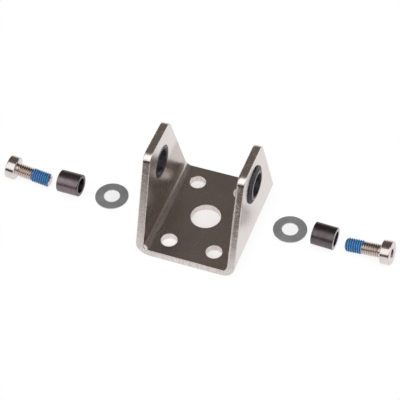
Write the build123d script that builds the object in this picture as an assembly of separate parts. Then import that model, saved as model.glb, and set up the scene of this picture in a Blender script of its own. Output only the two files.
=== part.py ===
from build123d import *
import os
from math import atan2, cos, degrees, radians, sin

# Trunnion bracket with two loose pivot pins, laid out as they come apart.
# X runs along the pivot line, from the left lug to the right lug. Y runs across it, away
# from the front, and +Z is up. The origin is the middle of the base, on its underside.
# Sizes are in millimetres and headings in degrees.

# Bracket, one bent plate
bracket_width = 36.0  # over the outer faces of both lugs
base_depth = 42.4
plate = 2.8
bend_radius = 2.2  # inside the bends
lug_top = 36.6  # height of the lugs' top edge above the underside
lug_top_length = 17.7  # the top edge, before its corners are rounded
lug_corner_radius = 4.0
shoulder_rise = 0.75  # above the base, where the lugs' sides start to slope in
shoulder_radius = 4.0
plate_edge_break = 0.25  # tumbled edges of the plate

# Holes in the bracket
pivot_height = 25.7
base_hole = 5.8
base_pitch_x = 16.5
base_pitch_y = 28.5
centre_hole = 10.7
hole_break = 0.15  # broken edges of the holes in the base

# Flanged bushes, pressed into the lugs from outside
bush_barrel = 11.8
bush_flange = 13.4
bush_flange_rim = 0.4
bush_face = 10.1  # flat ring on top of the coned flange
bush_proud = 1.15  # how far that ring stands out from the lug
bush_mouth_chamfer = 0.15
bush_tail_chamfer = 0.4

# Sleeves, on which the bracket swings once it is fitted
sleeve_diameter = 8.0
sleeve_running_gap = 0.05  # on each side, in the bush
sleeve_length = 8.1
sleeve_bore = 5.4
sleeve_chamfer = 0.3
sleeve_bore_chamfer = 0.2

# Thin flat washers
washer_diameter = 12.0
washer_hole = 5.8
washer_thickness = 0.5
washer_edge_break = 0.1

# Screws with a low round head and a hexagon socket
thread_diameter = 4.9
screw_length = 13.0  # under the head
screw_tip_chamfer = 0.7
head_diameter = 8.4
head_height = 3.5
head_rim_chamfer = 0.3
head_under_chamfer = 0.25
neck_flare = 0.2  # where the thread runs out under the head
socket_flats = 3.0
socket_depth = 1.9
socket_drill_cone = 0.6  # depth of the drill point below the socket
socket_chamfer = 0.15

# Places of the loose pieces, which lie on the surface that the bracket stands on. A gap runs
# along X from the piece before, going outwards from the lug. An offset runs along Y from the
# pivot line, and a heading turns the piece about Z.
rows = {
    "left": {
        "washer_gap": 11.9, "washer_offset": 0.0,
        "sleeve_gap": 4.8, "sleeve_offset": -1.9, "sleeve_heading": -0.5,
        "screw_gap": 4.0, "screw_offset": -1.9, "screw_heading": -0.4,
    },
    "right": {
        "washer_gap": 5.2, "washer_offset": 5.7,
        "sleeve_gap": 3.1, "sleeve_offset": 3.8, "sleeve_heading": -2.3,
        "screw_gap": 3.7, "screw_offset": 3.7, "screw_heading": -2.7,
    },
}

# Worked out from the sizes above
half_width = bracket_width / 2
half_depth = base_depth / 2
lug_inner = half_width - plate
shoulder_height = plate + shoulder_rise
bush_bore = sleeve_diameter + 2 * sleeve_running_gap
thread_radius = thread_diameter / 2
head_radius = head_diameter / 2

# A screw lies on the rim of its head and on the end of its thread
tip_contact = screw_length - screw_tip_chamfer
screw_tilt = atan2(head_radius - thread_radius, tip_contact + head_under_chamfer)
screw_rise = head_radius * cos(screw_tilt) - head_under_chamfer * sin(screw_tilt)


def u_section():
    """Section across the bracket: the base, the two bends and the two lugs."""
    outer = Pos(0, lug_top / 2) * Rectangle(bracket_width, lug_top)
    outer = fillet(outer.vertices().group_by(Axis.Y)[0], bend_radius + plate)
    inner = Pos(0, plate + lug_top / 2) * Rectangle(2 * lug_inner, lug_top)
    inner = fillet(inner.vertices().group_by(Axis.Y)[0], bend_radius)
    return Plane.XZ * (outer - inner)


def side_outline():
    """The bracket seen along the pivot line: full depth at the base, then sloping sides."""
    half_top = lug_top_length / 2
    outline = make_face(Polyline(
        (-half_depth, 0), (half_depth, 0), (half_depth, shoulder_height), (half_top, lug_top),
        (-half_top, lug_top), (-half_depth, shoulder_height), (-half_depth, 0),
    ))
    outline = fillet(outline.vertices().group_by(Axis.Y)[-1], lug_corner_radius)
    outline = fillet(outline.vertices().group_by(Axis.Y)[1], shoulder_radius)
    return Plane.YZ * outline


def bent_plate():
    """The bracket before its holes, with all its outer edges broken."""
    body = extrude(u_section(), half_depth, both=True)
    body &= extrude(side_outline(), half_width, both=True)
    across_the_edge = body.edges().filter_by(Axis.X).filter_by(
        lambda edge: abs(edge.center().X) > lug_inner - bend_radius
    )
    along_the_bends = body.edges().filter_by(Axis.Y).filter_by(
        lambda edge: edge.center().Z < pivot_height
    )
    return chamfer(body.edges() - across_the_edge - along_the_bends, plate_edge_break)


def base_bore(diameter):
    """What a hole through the base takes away, its broken edges included."""
    radius = diameter / 2
    mouth = Cone(radius + hole_break, radius, hole_break)
    lower = Pos(0, 0, hole_break / 2) * mouth
    upper = Pos(0, 0, plate - hole_break / 2) * Rot(180, 0, 0) * mouth
    return Pos(0, 0, plate / 2) * Cylinder(radius, 2 * plate) + lower + upper


def bracket():
    """Bent plate with four fixing holes, a centre hole and a bore across both lugs."""
    body = bent_plate() - base_bore(centre_hole)
    for place in GridLocations(base_pitch_x, base_pitch_y, 2, 2):
        body -= place * base_bore(base_hole)
    return body - Pos(0, 0, pivot_height) * Rot(0, 90, 0) * Cylinder(bush_barrel / 2, bracket_width)


def turned(points):
    """Solid turned about the X axis from a half section, given as (place along X, radius)."""
    half_section = make_face(Polyline(*points, points[0]))
    return revolve(half_section, Axis.X)


def bush():
    """Right bush: a barrel through the lug and a coned flange outside it."""
    bore = bush_bore / 2
    face_end = half_width + bush_proud
    return Pos(0, 0, pivot_height) * turned([
        (lug_inner, bore + bush_tail_chamfer),
        (lug_inner, bush_barrel / 2),
        (half_width, bush_barrel / 2),
        (half_width, bush_flange / 2),
        (half_width + bush_flange_rim, bush_flange / 2),
        (face_end, bush_face / 2),
        (face_end, bore + bush_mouth_chamfer),
        (face_end - bush_mouth_chamfer, bore),
        (lug_inner + bush_tail_chamfer, bore),
    ])


def washer():
    """Flat ring lying on the ground, its outer edges slightly broken."""
    disc = Cylinder(washer_diameter / 2, washer_thickness)
    disc = chamfer(disc.edges().filter_by(GeomType.CIRCLE), washer_edge_break)
    return Pos(0, 0, washer_thickness / 2) * (disc - Cylinder(washer_hole / 2, washer_thickness))


def sleeve():
    """Plain tube along X, lying on the ground."""
    end = sleeve_length / 2
    bore = sleeve_bore / 2
    outside = sleeve_diameter / 2
    right_half = [
        (end - sleeve_bore_chamfer, bore),
        (end, bore + sleeve_bore_chamfer),
        (end, outside - sleeve_chamfer),
        (end - sleeve_chamfer, outside),
    ]
    left_half = [(-along, radius) for along, radius in reversed(right_half)]
    return Pos(0, 0, outside) * turned(right_half + left_half)


def hex_socket():
    """What the hexagon socket takes away: a chamfered mouth, six flats and a drill point."""
    head_end = Plane((-head_height, 0, 0), x_dir=(0, 1, 0), z_dir=(1, 0, 0))
    corner_radius = socket_flats / 2 / cos(radians(30))
    flats = extrude(head_end * RegularPolygon(corner_radius, 6), socket_depth)
    mouth = Cone(corner_radius + socket_chamfer / 2, corner_radius - socket_chamfer / 2, socket_chamfer)
    point = Cone(socket_flats / 2, 0, socket_drill_cone)
    return (
        flats
        + head_end * Pos(0, 0, socket_chamfer / 2) * mouth
        + head_end * Pos(0, 0, socket_depth + socket_drill_cone / 2) * point
    )


def screw():
    """Screw along X: its tip points to +X and the underside of its head is at X = 0."""
    return turned([
        (-head_height, 0),
        (-head_height, head_radius - head_rim_chamfer),
        (head_rim_chamfer - head_height, head_radius),
        (-head_under_chamfer, head_radius),
        (0, head_radius - head_under_chamfer),
        (0, thread_radius + neck_flare),
        (neck_flare, thread_radius),
        (tip_contact, thread_radius),
        (screw_length, thread_radius - screw_tip_chamfer),
        (screw_length, 0),
    ]) - hex_socket()


def lying_screw():
    """The screw tipped down, so that it rests on the rim of its head and the end of its thread."""
    return Pos(0, 0, screw_rise) * Rot(0, degrees(screw_tilt), 0) * screw()


def place_row(side, row):
    """Washer, sleeve and screw of one side, in a line going outwards from the lug."""
    outwards = -1 if side == "left" else 1
    facing = 0 if side == "left" else 180
    washer_x = half_width + row["washer_gap"] + washer_diameter / 2
    sleeve_x = washer_x + washer_diameter / 2 + row["sleeve_gap"] + sleeve_length / 2
    head_x = sleeve_x + sleeve_length / 2 + row["screw_gap"] + screw_length * cos(screw_tilt)
    washer_place = Pos(outwards * washer_x, row["washer_offset"], 0)
    sleeve_place = Pos(outwards * sleeve_x, row["sleeve_offset"], 0) * Rot(0, 0, row["sleeve_heading"])
    screw_place = Pos(outwards * head_x, row["screw_offset"], 0) * Rot(0, 0, facing + row["screw_heading"])
    return {
        "washer": washer_place * washer(),
        "sleeve": sleeve_place * sleeve(),
        "screw": screw_place * lying_screw(),
    }


def main():
    pieces = {
        "bracket": bracket(),
        "bush_right": bush(),
        "bush_left": mirror(bush(), about=Plane.YZ),
    }
    for side, row in rows.items():
        for name, piece in place_row(side, row).items():
            pieces[f"{name}_{side}"] = piece
    os.makedirs("parts", exist_ok=True)
    for name, piece in pieces.items():
        export_step(piece, f"parts/{name}.step")


main()
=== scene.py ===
from functools import partialmethod
from math import atan2, ceil, cos, pi, radians, sin, tan

import bmesh
import bpy
from mathutils import Matrix, Vector


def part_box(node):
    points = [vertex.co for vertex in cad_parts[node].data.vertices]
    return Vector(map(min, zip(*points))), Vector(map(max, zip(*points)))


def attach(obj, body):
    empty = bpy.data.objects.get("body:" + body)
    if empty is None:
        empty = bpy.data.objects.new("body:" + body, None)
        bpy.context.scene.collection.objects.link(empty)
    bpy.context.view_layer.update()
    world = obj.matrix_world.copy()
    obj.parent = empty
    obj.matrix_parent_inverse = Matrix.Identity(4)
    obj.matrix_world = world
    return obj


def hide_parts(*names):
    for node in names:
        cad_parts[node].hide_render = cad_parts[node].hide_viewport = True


# Trunnion bracket with its loose sleeves, washers and screws.
# X runs along the pivot line, Y away from the front, and Z up. Everything is in metres.

bl_info = {
    "name": "Trunnion Bracket Kit",
    "version": (1, 0, 0),
    "blender": (4, 5, 0),
    "location": "View3D > Sidebar > Bracket Kit",
    "description": "Builds a bent plate bracket with flanged bushes, sleeves, washers and screws",
    "category": "Add Mesh",
}

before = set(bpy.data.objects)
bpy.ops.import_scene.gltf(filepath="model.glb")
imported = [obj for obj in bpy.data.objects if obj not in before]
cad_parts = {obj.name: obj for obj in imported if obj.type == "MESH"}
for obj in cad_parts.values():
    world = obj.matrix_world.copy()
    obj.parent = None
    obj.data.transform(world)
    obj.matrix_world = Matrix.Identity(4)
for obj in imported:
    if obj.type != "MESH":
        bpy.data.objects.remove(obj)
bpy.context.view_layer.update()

MM = 0.001
ARC_STEP = radians(6)  # between the points of a rounded corner
SHARP_ANGLE = radians(32)  # edges that turn more than this stay crisp
SEGMENTS = 72  # round the threads and the holes in the base
POINTS_PER_PITCH = 8
SIDES = ("left", "right")
WHITE = (1.0, 1.0, 1.0)


# Settings

def number(name, description, value, **limits):
    """A plain number as a setting."""
    return bpy.props.FloatProperty(name=name, description=description, default=value, **limits)


def length(name, description, millimetres):
    """A length setting, given in millimetres and kept in metres."""
    limits = {"min": 0.0, "unit": "LENGTH", "subtype": "DISTANCE", "precision": 5}
    return number(name, description, millimetres * MM, **limits)


def colour(name, description, red, green, blue):
    """A colour setting, as light reflected in each channel."""
    return bpy.props.FloatVectorProperty(
        name=name, description=description, default=(red, green, blue), size=3,
        min=0.0, max=1.0, subtype="COLOR",
    )


def share(name, description, value, low=0.0, high=1.0):
    """A setting between two limits."""
    return number(name, description, value, min=low, max=high, subtype="FACTOR")


def angle(name, description, degrees):
    """An angle setting, given in degrees and kept in radians."""
    return number(name, description, radians(degrees), unit="ROTATION", subtype="ANGLE")


class BracketSettings(bpy.types.PropertyGroup):
    width: length("Width", "Over the outer faces of both lugs", 36.0)
    depth: length("Depth", "Of the base, from front to back", 42.4)
    plate: length("Plate", "Thickness of the bent plate", 2.8)
    bend_radius: length("Bend radius", "Inside the two bends", 2.2)
    lug_top: length("Height", "Of the lugs above the underside", 36.6)
    lug_top_length: length("Top edge", "Its length before rounding", 17.7)
    lug_corner: length("Corner radius", "Of the lugs' top corners", 4.0)
    shoulder: length("Shoulder", "Where the lugs' sides start to slope in", 3.55)
    shoulder_radius: length("Shoulder radius", "Where the slope starts", 4.0)
    edge_round: length("Edge round", "Of the tumbled edges", 0.34)
    pivot_height: length("Pivot height", "Of the pivot line above the underside", 25.7)
    lug_bore: length("Lug bore", "Diameter round the bushes", 11.8)
    base_hole: length("Fixing holes", "Diameter of the four in the base", 5.8)
    pitch_x: length("Pitch across", "Of the fixing holes, along the pivot line", 16.5)
    pitch_y: length("Pitch in depth", "Of the fixing holes, from front to back", 28.5)
    centre_hole: length("Centre hole", "Diameter in the middle of the base", 10.7)
    hole_break: length("Hole break", "Broken edges of the base's holes", 0.15)
    roll_width: length("Roll width", "Of the edge that the shears drew down", 1.0)
    roll_depth: length("Roll depth", "How far that edge is drawn down", 0.24)
    plating: colour("Plating", "Nickel plate on the faces", 0.80, 0.73, 0.705)
    # Painted shade low on the lugs' inner faces, darkest just above the bends
    painted_lug_shade: colour("Lug shade", "Duller plate low on the lugs' inner faces", 0.60, 0.52, 0.485)
    cut_edge: colour("Cut edges", "Plated over the sheared edges", 0.72, 0.655, 0.625)
    hole_wall: colour("Hole walls", "Plated over the pierced walls", 0.77, 0.70, 0.67)
    nick: colour("Nicks", "Bright nicks in the sheared edges", 0.95, 0.90, 0.87)


class BushSettings(bpy.types.PropertyGroup):
    barrel: length("Barrel", "Diameter inside the lug", 11.8)
    flange: length("Flange", "Diameter outside the lug", 13.4)
    flange_rim: length("Flange rim", "Height of the flange's straight rim", 0.4)
    face: length("Face", "Diameter of the flat ring on the flange", 10.1)
    proud: length("Proud", "How far that ring stands out from the lug", 1.15)
    bore: length("Bore", "Diameter in which a sleeve turns", 8.1)
    mouth: length("Mouth", "Chamfer of the bore's outer end", 0.15)
    tail: length("Tail", "Chamfer of the bore's inner end", 0.4)
    black: colour("Black", "Moulded bearing plastic", 0.024, 0.021, 0.025)
    # Painted highlight on the flat ring's edge, which also shows wear, and on top of the barrel's
    # inner end
    wear_and_highlight: colour("Worn ring", "Rubbed edge of that ring", 0.40, 0.36, 0.39)


class LooseSettings(bpy.types.PropertyGroup):
    sleeve_diameter: length("Sleeve diameter", "Outside the sleeve", 8.0)
    sleeve_length: length("Sleeve length", "From end to end", 8.1)
    sleeve_bore: length("Sleeve bore", "Diameter inside the sleeve", 5.4)
    washer_diameter: length("Washer diameter", "Outside the washer", 12.0)
    washer_hole: length("Washer hole", "Diameter of its hole", 5.8)
    washer_thickness: length("Washer thickness", "Of the flat washer", 0.5)
    burnished: colour("Burnished black", "Oxide finish of the sleeves", 0.20, 0.165, 0.178)
    # Painted shade and light: the left sleeve's ends are painted darker and the right one's
    # lighter, for what each end reflects
    end_left: colour("Left sleeve ends", "Oxide finish on the left sleeve's ends", 0.15, 0.13, 0.14)
    end_right: colour("Right sleeve ends", "Nearly bare ends of the right sleeve", 0.55, 0.50, 0.53)
    grey: colour("Washer grey", "Matt finish of the washers", 0.21, 0.21, 0.213)
    rim: colour("Washer rim", "Punched rim of the washers", 0.70, 0.70, 0.71)


class ScrewSettings(bpy.types.PropertyGroup):
    thread_diameter: length("Thread", "Diameter over the crests", 4.9)
    root_diameter: length("Thread root", "Diameter at its bottom", 4.0)
    pitch: length("Pitch", "From crest to crest", 0.8)
    shank: length("Length", "Under the head", 13.0)
    tip: length("Tip", "Diameter of the end face", 3.5)
    head_diameter: length("Head diameter", "Of the low round head", 8.4)
    head_height: length("Head height", "Of the low round head", 3.5)
    head_round: length("Head round", "Of the rim at the socket's end", 0.4)
    under_chamfer: length("Under chamfer", "Of the rim at the thread's end", 0.25)
    socket_flats: length("Socket", "Across the flats of the hexagon", 3.0)
    socket_depth: length("Socket depth", "Down to the drill point", 1.9)
    patch_left: length("Left patch", "From the head to the left screw's blue patch", 5.8)
    patch_right: length("Right patch", "From the head to the right screw's blue patch", 6.8)
    patch_coat: length("Patch coat", "Thickness of the dry thread-locking coat", 0.05)
    nickel: colour("Nickel", "Bright plate on the screws", 0.77, 0.70, 0.675)
    # Painted shade at the bottom of the thread
    root_shade: colour("Thread root", "Darker nickel in the thread's root", 0.50, 0.40, 0.35)
    blue: colour("Patch blue", "Dry thread-locking patch", 0.014, 0.13, 0.35)
    # Painted highlight over the crests, where the coat is also thin
    pale_blue: colour("Crest blue", "Where the patch is thin over the crests", 0.15, 0.34, 0.56)


class StageSettings(bpy.types.PropertyGroup):
    azimuth: angle("Azimuth", "Of the camera, from the front towards the right", 22.495)
    elevation: angle("Elevation", "Of the camera above the floor", 48.502)
    roll: angle("Roll", "Of the camera about its own axis", -2.796)
    distance: length("Distance", "To the point that it looks at", 524.54)
    look_at: bpy.props.FloatVectorProperty(
        name="Look at", description="Middle of the view, on the floor", size=3,
        default=(-5.522 * MM, 8.760 * MM, -0.130 * MM), unit="LENGTH", subtype="TRANSLATION",
    )
    lens: number("Lens", "Focal length, in millimetres", 132.418, unit="CAMERA")
    floor_colour: colour("Floor", "Plain pale floor", 0.93, 0.93, 0.93)
    floor_lift: share("Floor lift", "How far the open floor is lifted to white where seen", 0.985)
    contact_lift: share("Contact lift", "The same, close to the pieces", 0.87)
    contact_reach: length("Contact reach", "How far pieces shade the floor around them", 5.0)
    shade_x: length("Shade across", "Half the floor shaded by the base", 12.0)
    shade_y: length("Shade in depth", "The same from front to back", 19.0)
    under_shade: share("Under shade", "Change of the lift there", -0.50, -1.0, 0.0)
    under_tint: colour("Under tint", "Tint of the floor there, from the plate", 1.0, 0.955, 0.935)
    hole_shade: share("Hole shade", "Change of the lift in the washers", -0.70, -1.0, 0.0)
    hole_radius: length("Hole radius", "Of the shade inside the washers", 3.4)
    shade_edge: length("Shade edge", "Width over which these shades fade out", 1.0)
    dim_paper: colour("Dim paper", "What reflections show of the floor's end", 0.155, 0.125, 0.108)
    softbox: number("Softbox", "Brightness of the soft light overhead", 1.22, min=0.0)
    fill: number("Fill", "Watts of the lamp that lights matt pieces", 7.5, min=0.0, unit="POWER")
    studio: colour("Studio", "Dim studio behind and above the object", 0.106, 0.094, 0.080)
    haze: colour("Haze", "Studio low behind the object", 0.25, 0.225, 0.21)
    horizon: colour("Horizon", "Dark strip between floor and soft light", 0.022, 0.019, 0.018)


class KitSettings(bpy.types.PropertyGroup):
    bracket: bpy.props.PointerProperty(type=BracketSettings)
    bush: bpy.props.PointerProperty(type=BushSettings)
    loose: bpy.props.PointerProperty(type=LooseSettings)
    screw: bpy.props.PointerProperty(type=ScrewSettings)
    stage: bpy.props.PointerProperty(type=StageSettings)


# Node trees

def node(tree, kind, inputs=(), **settings):
    """Adds a node. Each input is a value or a signal from another node."""
    made = tree.nodes.new(kind)
    for key, value in settings.items():
        setattr(made, key, value)
    for key, value in dict(inputs).items():
        if isinstance(value, Signal):
            tree.links.new(value.socket, made.inputs[key])
        else:
            made.inputs[key].default_value = value
    return made


def output(tree, kind, inputs=(), socket=0, **settings):
    """Adds a node and gives the signal from one of its outputs."""
    return Signal(node(tree, kind, inputs, **settings).outputs[socket])


def outputs(made):
    """The signals from a node's outputs, by name."""
    return {socket.name: Signal(socket) for socket in made.outputs}


class Signal:
    """What comes out of a node. A sum with it adds math nodes to its tree."""

    def __init__(self, socket):
        self.socket = socket
        self.tree = socket.id_data

    def calc(self, operation, *others):
        """Output of a math node."""
        return output(self.tree, "ShaderNodeMath", enumerate((self, *others)), operation=operation)

    __add__ = partialmethod(calc, "ADD")
    __sub__ = partialmethod(calc, "SUBTRACT")
    __rsub__ = partialmethod(calc, "MULTIPLY_ADD", -1.0)
    __mul__ = partialmethod(calc, "MULTIPLY")
    __abs__ = partialmethod(calc, "ABSOLUTE")
    at_least = partialmethod(calc, "MAXIMUM")
    at_most = partialmethod(calc, "MINIMUM")

    def remap(self, low, high, to_low, to_high, smooth=False):
        """Runs from to_low to to_high as the signal goes from low to high."""
        values = enumerate((self, low, high, to_low, to_high))
        shape = "SMOOTHSTEP" if smooth else "LINEAR"
        return output(self.tree, "ShaderNodeMapRange", values, interpolation_type=shape)

    def mask(self, low, high):
        """Share that eases from 0 at low to 1 at high."""
        return self.remap(low, high, 0.0, 1.0, smooth=True)

    def mix(self, first, second):
        """Colour that goes from first to second as the signal goes from 0 to 1."""
        values = {0: self}
        for socket, tint in ((6, first), (7, second)):
            values[socket] = tint if isinstance(tint, Signal) else (*tint, 1.0)
        return output(self.tree, "ShaderNodeMix", values, 2, data_type="RGBA")

    def mottled(self, tint, darker, lighter, smooth=True):
        """Tint that a noise pattern makes darker and lighter by these factors."""
        amount = self.remap(0.35, 0.65, 0.0, 1.0, smooth)
        return amount.mix(shaded(tint, darker), shaded(tint, lighter))

    def varied(self, low, high):
        """Number that a noise pattern varies from low to high."""
        return self.remap(0.3, 0.7, low, high)


def split(vector):
    """The three numbers of a vector signal."""
    return tuple(outputs(node(vector.tree, "ShaderNodeSeparateXYZ", {0: vector})).values())


def vector_math(operation, first, second=(0, 0, 0), socket="Value"):
    """Output of a vector math node."""
    values = {0: first, 1: second}
    return output(first.tree, "ShaderNodeVectorMath", values, socket, operation=operation)


def flat_length(x, y):
    """Length of a vector with these two numbers."""
    return vector_math("LENGTH", output(x.tree, "ShaderNodeCombineXYZ", {0: x, 1: y}))


def emptied(block):
    """The node tree of a new material or world, with nothing in it."""
    block.use_nodes = True
    block.node_tree.nodes.clear()
    return block.node_tree


class Finish:
    """A node material in the making: a Principled shader and patterns on Object coordinates."""

    def __init__(self, name, **shader):
        self.material = bpy.data.materials.new(name)
        self.tree = emptied(self.material)
        self.shader = node(self.tree, "ShaderNodeBsdfPrincipled", shader)
        node(self.tree, "ShaderNodeOutputMaterial", {0: Signal(self.shader.outputs[0])})
        self.place = output(self.tree, "ShaderNodeTexCoord", socket="Object")

    def noise(self, per_metre, detail=3.0, roughness=0.6, stretch=None):
        """A noise pattern with that many cells in a metre, drawn out where stretch is below 1."""
        place = self.place
        if stretch:
            place = vector_math("MULTIPLY", place, stretch, "Vector")
        return output(self.tree, "ShaderNodeTexNoise", {
            "Vector": place, "Scale": per_metre, "Detail": detail, "Roughness": roughness,
        })

    def groove(self):
        """How deep a point lies in the thread, from 0 at the crest to 1 at the root."""
        return output(self.tree, "ShaderNodeAttribute", socket="Fac", attribute_name="root")

    def dressed(self, colour, roughness, *bumps, metallic=None):
        """The finished material. Each bump is a pattern, its strength and its height."""
        normal = None
        for pattern, strength, height in bumps:
            values = {"Height": pattern, "Strength": strength, "Distance": height}
            if normal:
                values["Normal"] = normal
            normal = output(self.tree, "ShaderNodeBump", values)
        driven = {
            "Base Color": colour, "Roughness": roughness, "Metallic": metallic, "Normal": normal,
        }
        for name, signal in driven.items():
            if signal:
                self.tree.links.new(signal.socket, self.shader.inputs[name])
        return self.material


def shaded(tint, factor):
    """A tint made lighter or darker."""
    return tuple(min(1.0, channel * factor) for channel in tint)


# Mesh making

def rounded(corners):
    """Closed outline in which each corner, given as (x, y, radius), becomes an arc."""
    points = []
    befores = corners[-1:] + corners[:-1]
    afters = corners[1:] + corners[:1]
    for before, corner, after in zip(befores, corners, afters):
        at = Vector(corner[:2])
        if not corner[2]:
            points.append(at)
            continue
        back = (Vector(before[:2]) - at).normalized()
        ahead = (Vector(after[:2]) - at).normalized()
        half = back.angle(ahead) / 2
        centre = at + (back + ahead).normalized() * corner[2] / sin(half)
        start = at + back * corner[2] / tan(half) - centre
        turn = (pi - 2 * half) * (-1 if back.cross(ahead) > 0 else 1)
        steps = max(2, ceil(abs(turn) / ARC_STEP))
        for step in range(steps + 1):
            points.append(centre + Matrix.Rotation(turn * step / steps, 2) @ start)
    return points


def loft(rings, caps=(False, False), closed=False, onto=None):
    """Mesh skinned over rings that have the same number of points, capped where asked."""
    made = onto or bmesh.new()
    loops = [[made.verts.new(point) for point in ring] for ring in rings]
    pairs = list(zip(loops, loops[1:])) + ([(loops[-1], loops[0])] if closed else [])
    for lower, upper in pairs:
        for corners in zip(lower, lower[1:] + lower[:1], upper[1:] + upper[:1], upper):
            made.faces.new(corners)
    for wanted, loop in zip(caps, (loops[0], loops[-1])):
        if wanted:
            made.faces.new(loop)
    bmesh.ops.recalc_face_normals(made, faces=made.faces)
    return made


def ring(along, radius, segments=SEGMENTS, sides=0):
    """Circle about the X axis, or the polygon round it with so many sides."""
    points = []
    for step in range(segments):
        turn = 2 * pi * step / segments
        off_side = (turn + pi / sides) % (2 * pi / sides) - pi / sides if sides else 0.0
        reach = radius / cos(off_side)
        points.append(Vector((along, reach * cos(turn), reach * sin(turn))))
    return points


def prism(outline, low, high, carry):
    """Outline carried from low to high. carry makes a point of its two numbers and the level."""
    rings = [[Vector(carry(*point, level)) for point in outline] for level in (low, high)]
    return loft(rings, (True, True))


def put(name, data):
    """Adds an object to the scene."""
    added = bpy.data.objects.new(name, data)
    bpy.context.scene.collection.objects.link(added)
    return added


def placed(place, heading=0.0, axis="Z"):
    """Matrix that turns by a heading, in degrees, and then moves to a place."""
    return Matrix.Translation(place) @ Matrix.Rotation(radians(heading), 4, axis)


def new_object(name, made, place=Matrix.Identity(4)):
    """Object at the origin, with its place in its mesh."""
    made.transform(place)
    mesh = bpy.data.meshes.new(name)
    made.to_mesh(mesh)
    made.free()
    return put(name, mesh)


def baked(piece):
    """Turns what the modifiers make of a piece into its plain mesh, and removes them."""
    bpy.context.view_layer.update()
    graph = bpy.context.evaluated_depsgraph_get()
    mesh = bpy.data.meshes.new_from_object(piece.evaluated_get(graph), depsgraph=graph)
    old = piece.data
    piece.modifiers.clear()
    piece.data = mesh
    mesh.name = piece.name
    bpy.data.meshes.remove(old)
    return piece


def dress(piece, choose, materials):
    """Gives each face of a piece the material whose number choose returns."""
    piece.data.materials.clear()
    for material in materials:
        piece.data.materials.append(material)
    for face in piece.data.polygons:
        face.material_index = choose(face)


def smoothed(piece, angle=SHARP_ANGLE):
    """Smooth shading that keeps sharp edges crisp and flat faces flat."""
    piece.data.shade_smooth()
    piece.data.set_sharp_from_angle(angle=angle)
    weighted = piece.modifiers.new("even shading", "WEIGHTED_NORMAL")
    weighted.keep_sharp = True
    weighted.weight = 100
    return baked(piece)


def seated(piece, slot, *nodes):
    """Ties a finished piece to the root body and hides the CAD nodes that it stands for. The slot
    is not used.
    """
    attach(piece, "root")
    if nodes:
        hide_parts(*nodes)


def node_centre(name):
    """Middle of a CAD node's box."""
    low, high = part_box(name)
    return (low + high) / 2


# Finishes

def plate_section(place, sizes):
    """Where a point lies in the bent section of the plate.

    Gives how far it is past the centre of the bend, below that centre and under the inner face.
    """
    x, _, z = split(place)
    past = abs(x) - (sizes.width / 2 - sizes.plate - sizes.bend_radius)
    below = sizes.plate + sizes.bend_radius - z
    radius = flat_length(past.at_least(0.0), below.at_least(0.0))
    return past, below, radius - sizes.bend_radius


def plated_steel(sizes):
    """Satin nickel plate on rolled sheet, with marks of the press, and painted highlights and
    shade: lighter along the bends and at one bend's front end, darker low on the lugs.
    """
    finish = Finish("plated steel", Metallic=1.0, Roughness=0.25)
    clouds = finish.noise(140, roughness=0.5)
    patchy = finish.noise(900)
    past, below, depth = plate_section(finish.place, sizes)
    inner = depth.mask(0.35 * MM, 0.25 * MM)

    # The press leaves two lines along each bend, the lower one broken into streaks. They are
    # painted lighter, partly as highlights of the bend
    low_place, high_place = 0.34 * sizes.bend_radius, 0.84 * sizes.bend_radius
    streaks = finish.noise(1100, stretch=(1.0, 0.15, 1.0)).remap(0.4, 0.62, 0.15, 1.0)
    low_line = abs(past - low_place).mask(1.0 * MM, 0.2 * MM) * below.mask(0.0, 0.5 * MM)
    high_line = abs(past - high_place).mask(0.4 * MM, 0.1 * MM) * below.mask(0.3 * MM, 0.8 * MM)
    lines = (low_line * streaks).at_least(high_line) * inner * patchy.remap(0.3, 0.6, 0.5, 1.0)

    # It also leaves a faint ring round each fixing hole
    x, y, _ = split(finish.place)
    from_hole = flat_length(abs(x) - sizes.pitch_x / 2, abs(y) - sizes.pitch_y / 2)
    on_ring = abs(from_hole - 0.78 * sizes.base_hole).mask(0.35 * MM, 0.05 * MM)
    marks = lines.at_least(on_ring * patchy.mask(0.42, 0.6) * 0.25)

    # A painted highlight, pale and less metallic, at the front end of the left bend
    corner = (-14.3 * MM, -20.7 * MM, 3.9 * MM)
    near = vector_math("DISTANCE", finish.place, corner).mask(1.3 * MM, 0.7 * MM)
    painted_highlight = near * patchy.remap(0.3, 0.6, 0.7, 1.0)

    # Painted shade low on the lugs' inner faces, darkest just above the bends
    on_lug = inner * below.mask(0.9 * MM, 0.0)
    tint = clouds.mottled(sizes.plating, 0.97, 1.02)
    tint = (on_lug * below.mask(-20 * MM, -15 * MM)).mix(tint, sizes.painted_lug_shade)
    just_above = on_lug * below.mask(-6.0 * MM, -0.8 * MM)
    tint = just_above.mix(tint, shaded(sizes.painted_lug_shade, 0.92))
    return finish.dressed(
        marks.at_least(painted_highlight).mix(tint, shaded(sizes.plating, 1.08)),
        clouds.varied(0.25, 0.28) + marks * 0.12 + painted_highlight * 0.2,
        (clouds, 0.04, 0.3 * MM),
        metallic=1.0 - painted_highlight * 0.85,
    )


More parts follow.
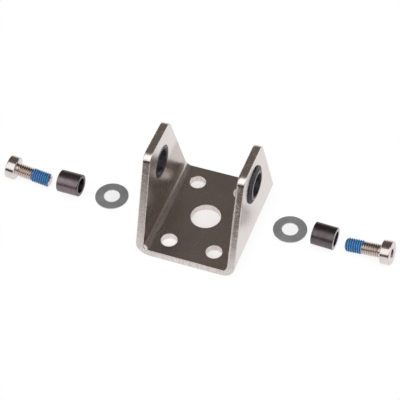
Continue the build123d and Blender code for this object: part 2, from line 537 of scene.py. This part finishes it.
def sheared_steel(sizes):
    """The plate's cut edges, drawn down along the inner face, with lines from face to face."""
    finish = Finish("sheared edges", Metallic=1.0, Roughness=0.3)
    x, _, z = split(finish.place)
    _, below, depth = plate_section(finish.place, sizes)
    on_base = below.mask(-0.1 * MM, 0.1 * MM)
    across_plate = on_base.mix((0.12, 1.0, 1.0), (1.0, 1.0, 0.12))
    lines = finish.noise(2600, detail=2.0, stretch=across_plate)
    clouds = finish.noise(420)
    nicks = finish.noise(2300, 1.0, 0.5).mask(0.58, 0.66) * clouds.mask(0.46, 0.58)
    # Painted light: the sheared edges on the lugs' tops are painted lighter, where the light falls
    # on them. They are also rougher there
    on_top = z.mask(sizes.lug_top - 2.5 * MM, sizes.lug_top - 1.0 * MM)
    tint = lines.mottled(sizes.cut_edge, 0.86, 1.08)
    tint = on_top.mix(tint, shaded(sizes.cut_edge, 1.3))
    drawn = depth.remap(0.0, sizes.roll_width, 1.0, 0.0) * x.mask(0.0, sizes.width / 4)
    return finish.dressed(
        nicks.mix(tint, sizes.nick),
        lines.varied(0.17, 0.27) + on_top * 0.07 + nicks * 0.3,
        (drawn * drawn * -sizes.roll_depth, 1.0, 1.0),
        (lines, 0.15, 0.03 * MM),
        (clouds, 0.10, 0.1 * MM),
    )


def pierced_steel(sizes):
    """The smooth walls of the pierced holes, with painted shade in a dark line along the upper rim
    at the back.
    """
    finish = Finish("pierced walls", Metallic=1.0, Roughness=0.2)
    lines = finish.noise(1200, detail=2.0, stretch=(1.0, 1.0, 0.2))
    height = split(finish.place)[2]
    facing_back = split(output(finish.tree, "ShaderNodeNewGeometry", socket="Normal"))[1]
    at_rim = height.mask(sizes.plate - 0.22 * MM, sizes.plate - 0.14 * MM)
    painted_rim_shade = at_rim * facing_back.mask(-0.1, -0.5)
    tint = lines.mottled(sizes.hole_wall, 0.9, 1.05)
    return finish.dressed(
        painted_rim_shade.mix(tint, shaded(sizes.hole_wall, 0.18)),
        lines.varied(0.16, 0.28),
        (lines, 0.10, 0.02 * MM),
    )


def moulded_black(sizes, pivot_height, lug_face):
    """Satin black bearing plastic, with faint turning lines, and painted highlights on its edges,
    where the outer one also shows wear.
    """
    finish = Finish("moulded black", Metallic=0.0, Roughness=0.4, **{"Specular IOR Level": 0.3})
    x, y, z = split(finish.place)
    along, rise = abs(x), z - pivot_height
    radius = flat_length(y, rise)
    clouds = finish.noise(900, detail=4.0)
    turning = (radius * (2 * pi / (0.5 * MM))).calc("SINE")

    # Painted highlights: on the edge of the flat ring outside, which also shows wear, and on top of
    # the barrel's end inside
    on_flange = along.mask(lug_face + 0.5 * sizes.proud, lug_face + 0.8 * sizes.proud)
    on_edge = abs(radius - (sizes.face / 2 - 0.05 * MM)).mask(0.26 * MM, 0.10 * MM)
    painted_highlight = on_flange * on_edge * clouds.remap(0.35, 0.6, 0.5, 1.0)
    on_tail = along.mask(lug_face - 2.0 * MM, lug_face - 2.3 * MM) * rise.mask(0.0, 3.0 * MM)
    on_barrel = abs(radius - (sizes.barrel / 2 - 0.5 * MM)).mask(0.3 * MM, 0.1 * MM)
    painted_glint = on_tail * on_barrel * clouds.mask(0.42, 0.52)
    return finish.dressed(
        painted_highlight.at_least(painted_glint).mix(clouds.mottled(sizes.black, 0.6, 1.6), sizes.wear_and_highlight),
        clouds.varied(0.30, 0.44),
        (turning, 0.25, 0.02 * MM),
        (clouds, 0.15, 0.05 * MM),
    )


def matt_grey(tint):
    """Matt grey phosphated sheet, slightly speckled."""
    finish = Finish("matt grey", Metallic=0.0, Roughness=0.62)
    speckle = finish.noise(2600)
    tint = finish.noise(300).mottled(tint, 0.92, 1.08, smooth=False)
    return finish.dressed(tint, speckle.varied(0.55, 0.70), (speckle, 0.10, 0.01 * MM))


def burnished_black(name, tint):
    """Black oxide on turned steel: a satin sheen with fine lines round the sleeve."""
    finish = Finish(name, Metallic=1.0, Roughness=0.3)
    lines = finish.noise(1300, 2.0, 0.5, stretch=(1.0, 0.1, 0.1))
    clouds = finish.noise(600)
    tint = clouds.mottled(tint, 0.88, 1.14, smooth=False)
    return finish.dressed(tint, lines.varied(0.32, 0.38), (clouds, 0.05, 0.03 * MM))


def cut_end(name, tint):
    """Steel where it was cut off or punched out, with fine random marks."""
    finish = Finish(name, Metallic=1.0, Roughness=0.35)
    marks = finish.noise(1800)
    tint = marks.mottled(tint, 0.85, 1.12, smooth=False)
    return finish.dressed(tint, marks.varied(0.28, 0.42))


def bright_nickel(sizes):
    """Bright nickel plate, with painted shade at the bottom of the thread."""
    finish = Finish("bright nickel", Metallic=1.0, Roughness=0.2)
    lines = finish.noise(3000, stretch=(1.0, 0.1, 0.1))
    tint = finish.noise(450).mottled(sizes.nickel, 0.94, 1.05)
    tint = finish.groove().remap(0.3, 1.0, 0.0, 1.0).mix(tint, sizes.root_shade)
    return finish.dressed(tint, lines.varied(0.17, 0.25), (lines, 0.04, 0.01 * MM))


def dry_patch(sizes):
    """Blue thread-locking coat, sprayed on, with painted shade at the bottom of the thread and a
    pale painted highlight over the crests, where it is also thin.
    """
    finish = Finish("dry blue patch", Metallic=0.0, Roughness=0.5)
    lumps = finish.noise(900, 2.0, 0.5)
    groove = finish.groove()
    tint = lumps.mottled(sizes.blue, 0.85, 1.25)
    # Painted shade at the bottom of the thread, and a painted highlight over its crests
    tint = groove.remap(0.55, 0.95, 0.0, 1.0).mix(tint, shaded(sizes.blue, 0.65))
    tint = groove.remap(0.45, 0.05, 0.0, 0.8).mix(tint, sizes.pale_blue)
    return finish.dressed(tint, lumps.varied(0.36, 0.52), (lumps, 0.2, 0.05 * MM))


# Bracket

def geometry_tree(name, inputs):
    """A geometry tree with these named inputs, and the signals from them."""
    tree = bpy.data.node_groups.new(name, "GeometryNodeTree")
    for label, kind in inputs.items():
        tree.interface.new_socket(label, in_out="INPUT", socket_type=f"NodeSocket{kind}")
    tree.interface.new_socket("Geometry", in_out="OUTPUT", socket_type="NodeSocketGeometry")
    return tree, outputs(node(tree, "NodeGroupInput"))


def ended(tree, geometry, material):
    """Ends a geometry tree with real instances and their material."""
    real = output(tree, "GeometryNodeRealizeInstances", {0: geometry})
    dressed = output(tree, "GeometryNodeSetMaterial", {0: real, "Material": material})
    node(tree, "NodeGroupOutput", {0: dressed})
    return tree


def hole_tree():
    """Geometry nodes: the cutter set out at the corners of a rectangle."""
    tree, entry = geometry_tree("hole pattern", {
        "Cutter": "Geometry", "Pitch across": "Float", "Pitch in depth": "Float",
        "Finish": "Material",
    })
    corners = output(tree, "GeometryNodeMeshGrid", {
        "Size X": entry["Pitch across"], "Size Y": entry["Pitch in depth"],
        "Vertices X": 2, "Vertices Y": 2,
    })
    cutters = {"Points": corners, "Instance": entry["Cutter"]}
    spread = output(tree, "GeometryNodeInstanceOnPoints", cutters)
    return ended(tree, spread, entry["Finish"])


def with_tree(piece, tree, **values):
    """Runs a geometry tree on a piece, with its inputs set, and keeps a plain mesh."""
    modifier = piece.modifiers.new(tree.name, "NODES")
    modifier.node_group = tree
    sockets = {item.name: item.identifier for item in tree.interface.items_tree}
    for name, value in values.items():
        modifier[sockets[name.replace("_", " ")]] = value
    return baked(piece)


def base_cutter(diameter, sizes):
    """What a hole takes out of the base along Z, flared at both faces, in millimetres."""
    plate, flat = sizes.plate / MM, sizes.hole_break / MM
    radius = diameter / 2 / MM
    over = 0.2 * plate
    flare = radius + flat + over
    profile = [(-over, flare), (flat, radius), (plate - flat, radius), (plate + over, flare)]
    made = loft([ring(*point) for point in profile], (True, True))
    made.transform(Matrix.Rotation(radians(-90), 4, "Y"))
    return made


def cut(piece, cutter, operation="DIFFERENCE"):
    """Boolean with another object, which is then removed."""
    modifier = piece.modifiers.new("cut", "BOOLEAN")
    modifier.operation = operation
    modifier.solver = "EXACT"
    modifier.object = cutter
    baked(piece)
    bpy.data.objects.remove(cutter)


def bent_plate(sizes):
    """U-shaped plate whose lugs taper upwards, with rounded edges, in millimetres."""
    half_width = sizes.width / 2 / MM
    half_depth = sizes.depth / 2 / MM
    half_top = sizes.lug_top_length / 2 / MM
    plate = sizes.plate / MM
    top = sizes.lug_top / MM
    spare = 5  # by which the two outlines reach past each other
    inside = half_width - plate
    outer_bend = (sizes.bend_radius + sizes.plate) / MM
    inner_bend = sizes.bend_radius / MM
    section = rounded([
        (-half_width, 0, outer_bend), (half_width, 0, outer_bend), (half_width, top + spare, 0),
        (inside, top + spare, 0), (inside, plate, inner_bend), (-inside, plate, inner_bend),
        (-inside, top + spare, 0), (-half_width, top + spare, 0),
    ])
    corner = sizes.lug_corner / MM
    shoulder = (sizes.shoulder / MM, sizes.shoulder_radius / MM)
    side = rounded([
        (-half_depth, -spare, 0), (half_depth, -spare, 0), (half_depth, *shoulder),
        (half_top, top, corner), (-half_top, top, corner), (-half_depth, *shoulder),
    ])
    far = half_depth + spare
    body = new_object("bent_plate", prism(section, -far, far, lambda x, z, y: (x, y, z)))
    far = half_width + spare
    cut(body, new_object("outline", prism(side, -far, far, lambda y, z, x: (x, y, z))), "INTERSECT")
    edges = body.modifiers.new("tumbled edges", "BEVEL")
    edges.width = sizes.edge_round / MM
    edges.segments = 4
    edges.limit_method = "ANGLE"
    edges.angle_limit = radians(40)
    edges.use_clamp_overlap = False
    return baked(body)


def make_bracket(kit):
    """The bent plate with its holes, in place of its CAD node."""
    sizes = kit.bracket
    body = bent_plate(sizes)
    cut(body, new_object("centre hole", base_cutter(sizes.centre_hole, sizes)))
    holes = new_object("fixing holes", base_cutter(sizes.base_hole, sizes))
    pitches = {"Pitch_across": sizes.pitch_x / MM, "Pitch_in_depth": sizes.pitch_y / MM}
    cut(body, with_tree(holes, hole_tree(), **pitches))
    reach, radius = sizes.width / MM, sizes.lug_bore / 2 / MM
    bore = loft([ring(end, radius, segments=96) for end in (-reach, reach)], (True, True))
    cut(body, new_object("lug bores", bore, placed((0, 0, sizes.pivot_height / MM))))
    body.data.transform(Matrix.Scale(MM, 4))
    bends_end = sizes.plate + sizes.bend_radius
    flat_x = sizes.width / 2 - bends_end
    flat_y = sizes.depth / 2 - 2 * sizes.edge_round

    def material_of(face):
        """0 for the plate's faces, 1 for its sheared edges and 2 for the walls of its holes."""
        at, facing = face.center, face.normal
        over_base = at.z < sizes.plate and abs(at.x) < flat_x and abs(at.y) < flat_y
        if over_base and abs(facing.z) < 0.9:
            return 2
        return int(abs(facing.y) > 0.5 or (at.z > bends_end and abs(facing.x) < 0.7))

    dress(body, material_of, (plated_steel(sizes), sheared_steel(sizes), pierced_steel(sizes)))
    seated(smoothed(body), "plated_steel", "bracket")


# Turned pieces

def turned_piece(name, section, place, slot, cad_node, materials, choose, segments=96):
    """A finished piece, turned about X from corners given as (along, radius, round)."""
    rings = [ring(*point, segments) for point in rounded(section)]
    piece = new_object(name, loft(rings, closed=True), place)
    dress(piece, choose, materials)
    seated(smoothed(piece), slot, cad_node)


def make_bushes(kit):
    """The two flanged bushes, each pressed into its lug."""
    sizes = kit.bush
    height = kit.bracket.pivot_height
    lug = kit.bracket.width / 2
    inner = lug - kit.bracket.plate
    bore = sizes.bore / 2
    face_end = lug + sizes.proud
    section = [
        (inner, bore + sizes.tail, 0), (inner, sizes.barrel / 2, 0), (lug, sizes.barrel / 2, 0),
        (lug, sizes.flange / 2, 0), (lug + sizes.flange_rim, sizes.flange / 2, 0.12 * MM),
        (face_end, sizes.face / 2, 0.35 * MM), (face_end, bore + sizes.mouth, 0),
        (face_end - sizes.mouth, bore, 0), (inner + sizes.tail, bore, 0),
    ]
    black = moulded_black(sizes, height, lug)
    for side, heading in zip(SIDES, (180, 0)):
        turned_piece(
            f"flanged_bush_{side}", section, placed((0, 0, height), heading), "black_bush",
            f"bush_{side}", [black], lambda face: 0,
        )


def make_washers(kit):
    """The two flat washers, lying on the floor."""
    sizes = kit.loose
    thick = sizes.washer_thickness
    hole, outside = sizes.washer_hole / 2, sizes.washer_diameter / 2
    section = [
        (0, hole, 0.05 * MM), (0, outside, 0.12 * MM),
        (thick, outside, 0.12 * MM), (thick, hole, 0.05 * MM),
    ]
    finishes = matt_grey(sizes.grey), cut_end("punched rim", sizes.rim)
    for side in SIDES:
        place = placed((*node_centre(f"washer_{side}").xy, 0), -90, "Y")
        turned_piece(
            f"flat_washer_{side}", section, place, "grey_washer", f"washer_{side}", finishes,
            lambda face: int(abs(face.normal.z) < 0.4), segments=128,
        )


def make_sleeves(kit):
    """The two plain sleeves, lying on the floor."""
    sizes = kit.loose
    end = sizes.sleeve_length / 2
    outside, bore = sizes.sleeve_diameter / 2, sizes.sleeve_bore / 2
    section = [
        (-end, bore, 0.18 * MM), (-end, outside, 0.3 * MM),
        (end, outside, 0.3 * MM), (end, bore, 0.18 * MM),
    ]
    # Heading in degrees, factor that makes the black lighter or darker, and colour of the ends
    rows = {"left": (-0.5, 1.12, sizes.end_left), "right": (-2.3, 0.72, sizes.end_right)}
    for side, (heading, sheen, end_colour) in rows.items():
        black = burnished_black(f"burnished black {side}", shaded(sizes.burnished, sheen))
        finishes = black, cut_end(f"cut ends {side}", end_colour)
        place = placed(node_centre(f"sleeve_{side}"), heading)
        turned_piece(
            f"pivot_sleeve_{side}", section, place, "blackened_steel", f"sleeve_{side}",
            finishes, lambda face: int(abs(face.normal.x) > 0.6),
        )


# Screws

def thread_tree():
    """Geometry nodes: a helical thread along X, joined to the rest of the piece.

    A grid is wound round the axis, so that its rows follow the helix. Past both ends its
    points fall together on one ring each, and are merged.
    """
    numbers = (
        "Seed", "Start", "Pitch", "Root radius", "Crest radius", "Start radius", "Start slope",
        "End radius", "End slope", "Lumps",
    )
    tree, entry = geometry_tree("helical thread", {
        "Rest": "Geometry", "Turns": "Int", **dict.fromkeys(numbers, "Float"),
        "Finish": "Material",
    })
    rows = entry["Turns"] + 1.0
    grid = output(tree, "GeometryNodeMeshGrid", {
        "Size X": 1.0, "Size Y": 1.0, "Vertices X": SEGMENTS + 1,
        "Vertices Y": rows * POINTS_PER_PITCH + 1.0,
    })
    flat = split(output(tree, "GeometryNodeInputPosition"))
    around = flat[0] + 0.5
    turns = (flat[1] + 0.5) * rows
    wound = (turns + around - 1.0).at_least(0.0).at_most(entry["Turns"])
    run = wound * entry["Pitch"]
    along = run + entry["Start"]
    angle = around * (2 * pi)
    cosine, sine = angle.calc("COSINE"), angle.calc("SINE")

    # The profile, as a height from 0 at the root to 1 at the crest, with flats at both
    nudge = 0.0005  # keeps a whole turn from being cut to the one before
    phase = (turns + nudge).calc("FRACT")
    height = abs(phase * 2.0 - 1.0).remap(0.78, 0.12, 0.0, 1.0)
    radius = height * (entry["Crest radius"] - entry["Root radius"]) + entry["Root radius"]
    spot = output(tree, "ShaderNodeCombineXYZ", {0: along, 1: cosine, 2: sine})
    lumps = output(tree, "ShaderNodeTexNoise", {
        "Vector": vector_math("MULTIPLY", spot, (1.0 / MM, 2.0, 2.0), "Vector"),
        "W": entry["Seed"], "Scale": 1.6, "Detail": 2.0,
    }, noise_dimensions="4D")
    radius = radius + (lumps - 0.5) * entry["Lumps"]

    # Both ends run out on a slope
    from_start = run * entry["Start slope"] + entry["Start radius"]
    left = entry["Turns"] * entry["Pitch"] - run
    to_end = left * entry["End slope"] + entry["End radius"]
    radius = radius.at_most(from_start).at_most(to_end)
    point = output(tree, "ShaderNodeCombineXYZ", {0: along, 1: radius * cosine, 2: radius * sine})
    noted = output(tree, "GeometryNodeStoreNamedAttribute", {
        "Geometry": grid, "Name": "root", "Value": 1.0 - height,
    })
    helix = output(tree, "GeometryNodeSetPosition", {"Geometry": noted, "Position": point})
    whole = node(tree, "GeometryNodeJoinGeometry")
    for part in (entry["Rest"], output(tree, "GeometryNodeFlipFaces", {0: helix})):
        tree.links.new(part.socket, whole.inputs[0])
    merged = output(tree, "GeometryNodeMergeByDistance", {
        "Geometry": Signal(whole.outputs[0]), "Distance": 0.002 * MM,
    })
    return ended(tree, merged, entry["Finish"])


def screw_head(sizes, neck_along, neck_radius):
    """The head with its socket and drill point, open at the neck."""
    head = sizes.head_diameter / 2
    head_end = -sizes.head_height
    under = sizes.under_chamfer
    rim = rounded([
        (head_end, 0.7 * head, 0), (head_end, head, sizes.head_round),
        (-under, head, 0.1 * MM), (0, head - under, 0.05 * MM), (0, 0.7 * head, 0),
    ])
    socket = sizes.socket_flats / 2
    socket_end = head_end + sizes.socket_depth
    mouth = 0.15 * MM
    drill_point = [(socket_end + 0.6 * MM, 0.02 * MM), (socket_end, 0.96 * socket)]
    outside = [
        (head_end, socket / cos(pi / 6) + mouth), *rim,
        (0, neck_radius + 0.2 * MM), (0.06 * MM, neck_radius + 0.06 * MM),
        (neck_along, neck_radius),
    ]
    return loft([
        *[ring(*point) for point in drill_point],
        ring(socket_end - 0.02 * MM, socket, sides=6), ring(head_end + mouth, socket, sides=6),
        *[ring(*point) for point in outside],
    ], (True, False))


def lying_place(sizes, side, heading):
    """Place of a screw that lies on the rim of its head and on the end of its thread."""
    head, thread, tip = sizes.head_diameter / 2, sizes.thread_diameter / 2, sizes.tip / 2
    tilt = atan2(head - thread, sizes.shank - (thread - tip) + sizes.under_chamfer)
    facing = placed((0, 0, 0), heading) @ Matrix.Rotation(tilt, 4, "Y")
    rise = head * cos(tilt) - sizes.under_chamfer * sin(tilt)
    back = sizes.head_height * cos(tilt) + head * sin(tilt)
    front = sizes.shank * cos(tilt) + tip * sin(tilt)
    along = (facing @ Vector((1, 0, 0))).xy.normalized()
    middle = node_centre(f"screw_{side}").xy - along * (front - back) / 2
    return Matrix.Translation((*middle, rise)) @ facing


def settled(piece, place):
    """Turns the faces of a threaded piece outwards, puts it in its place and smooths it."""
    made = bmesh.new()
    made.from_mesh(piece.data)
    bmesh.ops.recalc_face_normals(made, faces=made.faces)
    made.transform(place)
    made.to_mesh(piece.data)
    made.free()
    return smoothed(piece, radians(38))


def make_screws(kit):
    """The two screws with their helical threads and blue patches."""
    sizes = kit.screw
    tree = thread_tree()
    coat = sizes.patch_coat
    root, crest, tip = sizes.root_diameter / 2, sizes.thread_diameter / 2, sizes.tip / 2
    hidden = 0.7 * root  # inside the screw, where the patch ends
    nickel = bright_nickel(sizes)
    blue = dry_patch(sizes)
    # Heading in degrees, start of the patch, and radius and slope at the patch's end
    screws = {
        "left": (-0.4, sizes.patch_left, tip - 0.25 * MM, 1.6),
        "right": (177.3, sizes.patch_right, tip + 2 * coat, 1.0),
    }
    for side, (heading, patch_from, end_radius, end_slope) in screws.items():
        place = lying_place(sizes, side, heading)
        turns = round(sizes.shank / sizes.pitch)
        start = sizes.shank - turns * sizes.pitch
        ends = screw_head(sizes, start, root)
        loft([ring(sizes.shank, tip)], (True, False), onto=ends)
        screw = with_tree(
            new_object(f"socket_screw_{side}", ends), tree, Turns=turns, Start=start,
            Pitch=sizes.pitch, Root_radius=root, Crest_radius=crest, Start_radius=root,
            Start_slope=0.35, End_radius=tip, End_slope=1.0, Lumps=0.0, Finish=nickel,
        )
        turns = round((sizes.shank - patch_from) / sizes.pitch)
        start = sizes.shank - turns * sizes.pitch
        ends = loft([ring(start, hidden)], (True, False))
        hollow_end = [ring(sizes.shank, end_radius), ring(sizes.shank - 0.3 * MM, hidden)]
        loft(hollow_end, (False, True), onto=ends)
        patch = with_tree(
            new_object(f"blue_patch_{side}", ends), tree, Turns=turns, Start=start,
            Pitch=sizes.pitch, Seed=3.0 + len(side), Root_radius=root + 1.6 * coat,
            Crest_radius=crest + coat, Start_radius=hidden, Start_slope=2.2,
            End_radius=end_radius, End_slope=end_slope, Lumps=0.8 * coat, Finish=blue,
        )
        seated(settled(screw, place), "screw_steel", f"screw_{side}")
        seated(settled(patch, place), "blue_patch")


# Stage

def lifted_floor(settings):
    """Plain pale floor that is lifted to white where the camera or a reflection sees it."""
    material = bpy.data.materials.new("pale floor")
    tree = emptied(material)
    path = outputs(node(tree, "ShaderNodeLightPath"))
    reflected = path["Is Glossy Ray"].at_least(path["Is Transmission Ray"])
    seen = path["Is Camera Ray"].at_least(reflected)
    x, y, _ = split(output(tree, "ShaderNodeTexCoord", socket="Object"))

    # In reflections, the floor's end and a slanted part in front on the left are dim
    in_front = y.mask(-45 * MM, -80 * MM) * x.mask(12 * MM, 0.0)
    slanted = (x * 0.9 - y * 0.43).remap(-25 * MM, 55 * MM, 0.0, 1.0)
    dim = (in_front * slanted).at_least(y.mask(-146 * MM, -172 * MM)) * reflected
    tint = dim.mix(WHITE, settings.dim_paper)

    # The floor is shaded close to the pieces, under the base and inside the washers
    open_sky = output(
        tree, "ShaderNodeAmbientOcclusion", {"Distance": settings.contact_reach}, "AO", samples=16,
    )
    lift = open_sky.remap(0.4, 1.0, settings.contact_lift, settings.floor_lift)
    edge = settings.shade_edge
    under_x = abs(x).remap(settings.shade_x, settings.shade_x + edge, 1.0, 0.0)
    under = under_x * abs(y).remap(settings.shade_y, settings.shade_y + edge, 1.0, 0.0)
    lift = lift + under * settings.under_shade
    tint = under.mix(tint, settings.under_tint)
    radius = settings.hole_radius
    for side in SIDES:
        middle = node_centre(f"washer_{side}")
        from_middle = flat_length(x - middle.x, y - middle.y)
        lift = lift + from_middle.remap(radius, radius + edge, settings.hole_shade, 0.0)

    paper = output(tree, "ShaderNodeBsdfDiffuse", {"Color": (*settings.floor_colour, 1.0)})
    glow = output(tree, "ShaderNodeEmission", {"Color": tint, "Strength": 1.0 - reflected * 0.08})
    mixed = output(tree, "ShaderNodeMixShader", {0: seen * lift, 1: paper, 2: glow})
    node(tree, "ShaderNodeOutputMaterial", {0: mixed})
    return material


def studio_light(settings):
    """World: a soft light from overhead towards the front, and a dim studio behind.

    The light is a wide band. Its angle is measured from the zenith towards the front.
    """
    world = bpy.data.worlds.new("soft studio")
    tree = emptied(world)
    front = (sin(settings.azimuth), -cos(settings.azimuth), 0.0)
    direction = output(tree, "ShaderNodeTexCoord", socket="Generated")
    height = split(direction)[2]
    angle = vector_math("DOT_PRODUCT", direction, front).calc("ARCTAN2", height)
    opening = angle.mask(radians(-5), radians(5))
    closing = angle.mask(radians(66), radians(57))
    behind = angle.mask(radians(-58), radians(-90)).mix(settings.studio, settings.haze)
    dim = opening.mix(behind, settings.horizon)
    tint = (opening * closing).mix(dim, (settings.softbox,) * 3)
    seen = output(tree, "ShaderNodeLightPath", socket="Is Camera Ray")
    backdrop = output(tree, "ShaderNodeBackground", {0: seen.mix(tint, WHITE), 1: 1.0})
    node(tree, "ShaderNodeOutputWorld", {0: backdrop})
    bpy.context.scene.world = world


def fill_lamp(settings):
    """Large lamp high in front, which reflections don't show."""
    data = bpy.data.lights.new("soft fill", "AREA")
    data.shape = "SQUARE"
    data.size = 1.2
    data.energy = settings.fill
    lamp = put("soft fill", data)
    lamp.visible_glossy = False
    lamp.visible_transmission = False
    place = Vector((0.15, -0.35, 1.0))
    turn = place.to_track_quat("Z", "Y").to_matrix().to_4x4()
    lamp.matrix_world = Matrix.Translation(place) @ turn


def photo_camera(settings):
    """Camera at the photograph's view."""
    data = bpy.data.cameras.new("photo camera")
    data.lens = settings.lens
    data.sensor_width = 36.0
    data.clip_start = 0.01
    data.clip_end = 20.0
    turns = (("Z", settings.azimuth), ("X", pi / 2 - settings.elevation), ("Z", settings.roll))
    place = Matrix.Translation(settings.look_at)
    for axis, turn in turns:
        place = place @ Matrix.Rotation(turn, 4, axis)
    camera = put("photo camera", data)
    camera.matrix_world = place @ Matrix.Translation((0, 0, settings.distance))
    bpy.context.scene.camera = camera


def make_stage(kit):
    """Floor, light, camera and colour view."""
    settings = kit.stage
    reach = 4.0
    sink = -0.02 * MM  # the floor lies just below the underside of the pieces
    made = bmesh.new()
    corners = ((-reach, -reach), (reach, -reach), (reach, reach), (-reach, reach))
    made.faces.new([made.verts.new((*corner, sink)) for corner in corners])
    floor = new_object("floor", made)
    floor.data.materials.append(lifted_floor(settings))
    studio_light(settings)
    fill_lamp(settings)
    photo_camera(settings)
    bpy.context.scene.view_settings.view_transform = "Standard"


# Operators and panel

def done(make, context):
    """Runs one step of the build. What it raises, the operator raises too."""
    make(context.scene.bracket_kit)
    return {"FINISHED"}


class BRACKETKIT_OT_stage(bpy.types.Operator):
    """Set up the floor, the studio light and the camera"""
    bl_idname = "bracketkit.stage"
    bl_label = "Stage"

    def execute(self, context):
        return done(make_stage, context)


class BRACKETKIT_OT_bracket(bpy.types.Operator):
    """Build the bent plate bracket"""
    bl_idname = "bracketkit.bracket"
    bl_label = "Bracket"

    def execute(self, context):
        return done(make_bracket, context)


class BRACKETKIT_OT_bushes(bpy.types.Operator):
    """Build the two flanged bushes"""
    bl_idname = "bracketkit.bushes"
    bl_label = "Bushes"

    def execute(self, context):
        return done(make_bushes, context)


class BRACKETKIT_OT_washers(bpy.types.Operator):
    """Build the two flat washers"""
    bl_idname = "bracketkit.washers"
    bl_label = "Washers"

    def execute(self, context):
        return done(make_washers, context)


class BRACKETKIT_OT_sleeves(bpy.types.Operator):
    """Build the two pivot sleeves"""
    bl_idname = "bracketkit.sleeves"
    bl_label = "Sleeves"

    def execute(self, context):
        return done(make_sleeves, context)


class BRACKETKIT_OT_screws(bpy.types.Operator):
    """Build the two socket screws with their thread-locking patches"""
    bl_idname = "bracketkit.screws"
    bl_label = "Screws"

    def execute(self, context):
        return done(make_screws, context)


OPERATORS = (
    BRACKETKIT_OT_stage, BRACKETKIT_OT_bracket, BRACKETKIT_OT_bushes,
    BRACKETKIT_OT_washers, BRACKETKIT_OT_sleeves, BRACKETKIT_OT_screws,
)


class BRACKETKIT_PT_panel(bpy.types.Panel):
    """Sizes, colours and build steps of the bracket kit"""
    bl_label = "Bracket Kit"
    bl_idname = "BRACKETKIT_PT_panel"
    bl_space_type = "VIEW_3D"
    bl_region_type = "UI"
    bl_category = "Bracket Kit"

    def draw(self, context):
        kit = context.scene.bracket_kit
        for group in (kit.stage, kit.bracket, kit.bush, kit.loose, kit.screw):
            box = self.layout.box()
            for name in group.__annotations__:
                box.prop(group, name)
        for operator in OPERATORS:
            self.layout.operator(operator.bl_idname)


CLASSES = (
    BracketSettings, BushSettings, LooseSettings, ScrewSettings, StageSettings, KitSettings,
    *OPERATORS, BRACKETKIT_PT_panel,
)


def register():
    for each in CLASSES:
        bpy.utils.register_class(each)
    bpy.types.Scene.bracket_kit = bpy.props.PointerProperty(type=KitSettings)


def unregister():
    del bpy.types.Scene.bracket_kit
    for each in reversed(CLASSES):
        bpy.utils.unregister_class(each)


def main():
    register()
    bpy.ops.bracketkit.stage()
    bpy.ops.bracketkit.bracket()
    bpy.ops.bracketkit.bushes()
    bpy.ops.bracketkit.washers()
    bpy.ops.bracketkit.sleeves()
    bpy.ops.bracketkit.screws()


if __name__ == "__main__":
    main()
